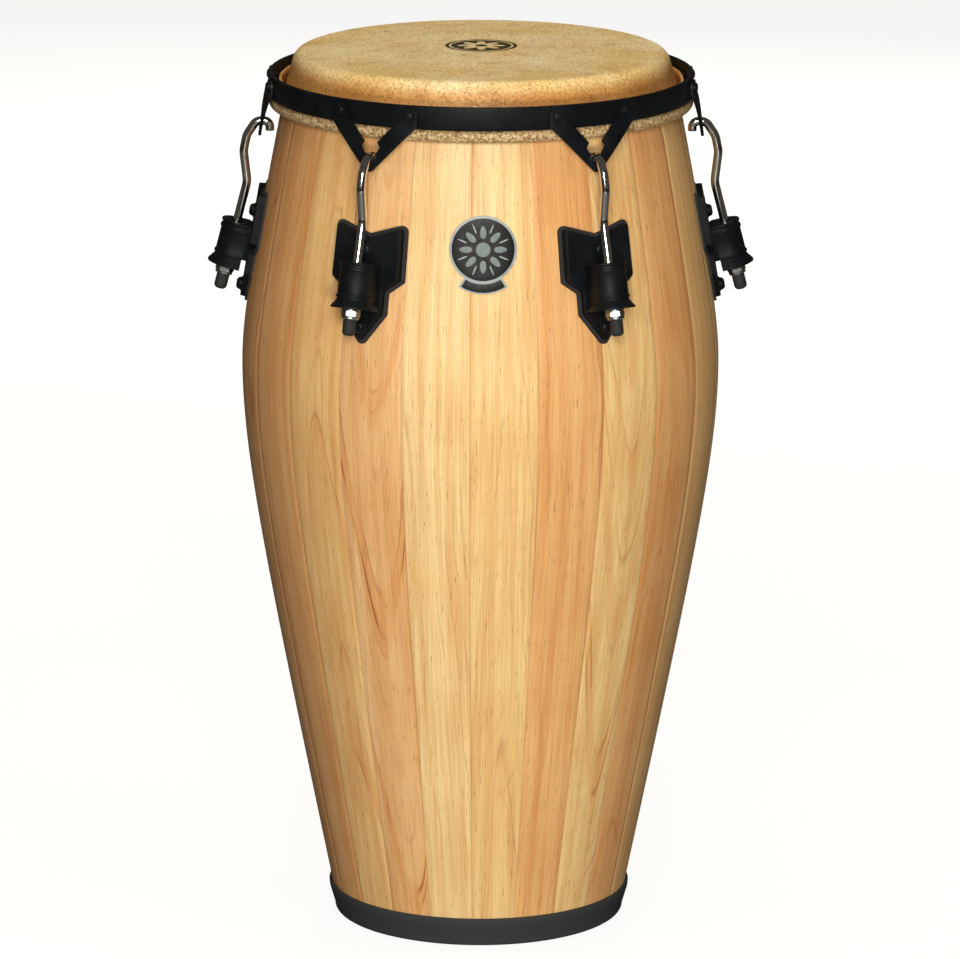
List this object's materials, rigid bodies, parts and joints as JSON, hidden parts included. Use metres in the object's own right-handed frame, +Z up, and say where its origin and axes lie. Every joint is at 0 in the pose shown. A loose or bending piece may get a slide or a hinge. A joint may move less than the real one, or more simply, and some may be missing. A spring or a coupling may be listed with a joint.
{
  "type": "conga drum",
  "caption": "Tall barrel-shaped hand drum of glued wooden staves, with a rawhide head under a flat black rim that V-shaped claws and bent tension hooks pull down, and a rubber foot.",
  "frame": {"origin": "centre of the foot, on the floor", "axes": "+Z up along the drum's axis, -Y towards the badge at the front, +X to the right seen from the front"},
  "size_m": [0.4386, 0.385, 0.711],
  "materials": {
    "stave_wood": "satin lacquer over pale natural hardwood",
    "ring_wood": "bare wood",
    "foot_rubber": "matt black",
    "rawhide": "dry rawhide, speckled amber",
    "badge_metal": "black enamel with raised silver",
    "zinc_steel": "zinc plated",
    "black_steel": "satin black powder coat",
    "black_casting": "fine matt black texture coat",
    "gasket_rubber": "matt black",
    "hook_chrome": "polished chrome plate",
    "nut_chrome": "bright plated",
    "cap_plastic": "matt black"
  },
  "bodies": {
    "shell": {"shell_staves": "stave_wood", "shell_top_ring": "ring_wood", "shell_foot_ring": "ring_wood", "rubber_foot": "foot_rubber", "drum_skin": "rawhide", "badge": "badge_metal", "barrel_washers": "zinc_steel", "plate_bolts": "black_steel", "saddle_washers": "zinc_steel", "plate_bolt_nuts": "zinc_steel", "plate_gasket_1": "gasket_rubber", "plate_gasket_2": "gasket_rubber", "plate_gasket_3": "gasket_rubber", "plate_gasket_4": "gasket_rubber", "plate_gasket_5": "gasket_rubber", "plate_gasket_6": "gasket_rubber", "side_plate_1": "black_casting", "side_plate_2": "black_casting", "side_plate_3": "black_casting", "side_plate_4": "black_casting", "side_plate_5": "black_casting", "side_plate_6": "black_casting", "hook_barrel_1": "black_casting", "hook_barrel_2": "black_casting", "hook_barrel_3": "black_casting", "hook_barrel_4": "black_casting", "hook_barrel_5": "black_casting", "hook_barrel_6": "black_casting"},
    "rim": {"rim": "black_steel", "flesh_ring": "zinc_steel", "claw_rivets": "black_steel", "claw_plate_1": "black_steel", "claw_plate_2": "black_steel", "claw_plate_3": "black_steel", "claw_plate_4": "black_steel", "claw_plate_5": "black_steel", "claw_plate_6": "black_steel"},
    "hook_1": {"tension_hook_1": "hook_chrome", "hook_cap_1": "cap_plastic"},
    "hook_2": {"tension_hook_2": "hook_chrome", "hook_cap_2": "cap_plastic"},
    "hook_3": {"tension_hook_3": "hook_chrome", "hook_cap_3": "cap_plastic"},
    "hook_4": {"tension_hook_4": "hook_chrome", "hook_cap_4": "cap_plastic"},
    "hook_5": {"tension_hook_5": "hook_chrome", "hook_cap_5": "cap_plastic"},
    "hook_6": {"tension_hook_6": "hook_chrome", "hook_cap_6": "cap_plastic"},
    "nut_1": {"tuning_nut_1": "nut_chrome"},
    "nut_2": {"tuning_nut_2": "nut_chrome"},
    "nut_3": {"tuning_nut_3": "nut_chrome"},
    "nut_4": {"tuning_nut_4": "nut_chrome"},
    "nut_5": {"tuning_nut_5": "nut_chrome"},
    "nut_6": {"tuning_nut_6": "nut_chrome"}
  },
  "joints": [
    {"name": "rim_travel", "type": "slide", "parent": "shell", "child": "rim", "axis": [0, 0, -1], "range_m": [0, 0.005], "deforming": ["drum_skin"]},
    {"name": "hook_travel_1", "type": "slide", "parent": "shell", "child": "hook_1", "axis": [0.1252, -0.2168, -0.9681], "range_m": [0, 0.00527]},
    {"name": "hook_travel_2", "type": "slide", "parent": "shell", "child": "hook_2", "axis": [0.2504, 0, -0.9681], "range_m": [0, 0.00527]},
    {"name": "hook_travel_3", "type": "slide", "parent": "shell", "child": "hook_3", "axis": [0.1252, 0.2168, -0.9681], "range_m": [0, 0.00527]},
    {"name": "hook_travel_4", "type": "slide", "parent": "shell", "child": "hook_4", "axis": [-0.1252, 0.2168, -0.9681], "range_m": [0, 0.00527]},
    {"name": "hook_travel_5", "type": "slide", "parent": "shell", "child": "hook_5", "axis": [-0.2504, 0, -0.9681], "range_m": [0, 0.00527]},
    {"name": "hook_travel_6", "type": "slide", "parent": "shell", "child": "hook_6", "axis": [-0.1252, -0.2168, -0.9681], "range_m": [0, 0.00527]},
    {"name": "nut_turn_1", "type": "hinge", "parent": "shell", "child": "nut_1", "pos_m": [0.10232, -0.17722, 0.5369], "axis": [-0.1252, 0.2168, 0.9681], "range_deg": [0, 1520]},
    {"name": "nut_turn_2", "type": "hinge", "parent": "shell", "child": "nut_2", "pos_m": [0.20463, 0, 0.5369], "axis": [-0.2504, 0, 0.9681], "range_deg": [0, 1520]},
    {"name": "nut_turn_3", "type": "hinge", "parent": "shell", "child": "nut_3", "pos_m": [0.10232, 0.17722, 0.5369], "axis": [-0.1252, -0.2168, 0.9681], "range_deg": [0, 1520]},
    {"name": "nut_turn_4", "type": "hinge", "parent": "shell", "child": "nut_4", "pos_m": [-0.10232, 0.17722, 0.5369], "axis": [0.1252, -0.2168, 0.9681], "range_deg": [0, 1520]},
    {"name": "nut_turn_5", "type": "hinge", "parent": "shell", "child": "nut_5", "pos_m": [-0.20463, 0, 0.5369], "axis": [0.2504, 0, 0.9681], "range_deg": [0, 1520]},
    {"name": "nut_turn_6", "type": "hinge", "parent": "shell", "child": "nut_6", "pos_m": [-0.10232, -0.17722, 0.5369], "axis": [0.1252, 0.2168, 0.9681], "range_deg": [0, 1520]}
  ],
  "couplings": [
    {"joint": "hook_travel_1", "follows": "rim_travel", "ratio": 1.0329},
    {"joint": "hook_travel_2", "follows": "rim_travel", "ratio": 1.0329},
    {"joint": "hook_travel_3", "follows": "rim_travel", "ratio": 1.0329},
    {"joint": "hook_travel_4", "follows": "rim_travel", "ratio": 1.0329},
    {"joint": "hook_travel_5", "follows": "rim_travel", "ratio": 1.0329},
    {"joint": "hook_travel_6", "follows": "rim_travel", "ratio": 1.0329},
    {"joint": "nut_turn_1", "follows": "rim_travel", "rad_per_m": 5191.9},
    {"joint": "nut_turn_2", "follows": "rim_travel", "rad_per_m": 5191.9},
    {"joint": "nut_turn_3", "follows": "rim_travel", "rad_per_m": 5191.9},
    {"joint": "nut_turn_4", "follows": "rim_travel", "rad_per_m": 5191.9},
    {"joint": "nut_turn_5", "follows": "rim_travel", "rad_per_m": 5191.9},
    {"joint": "nut_turn_6", "follows": "rim_travel", "rad_per_m": 5191.9}
  ]
}
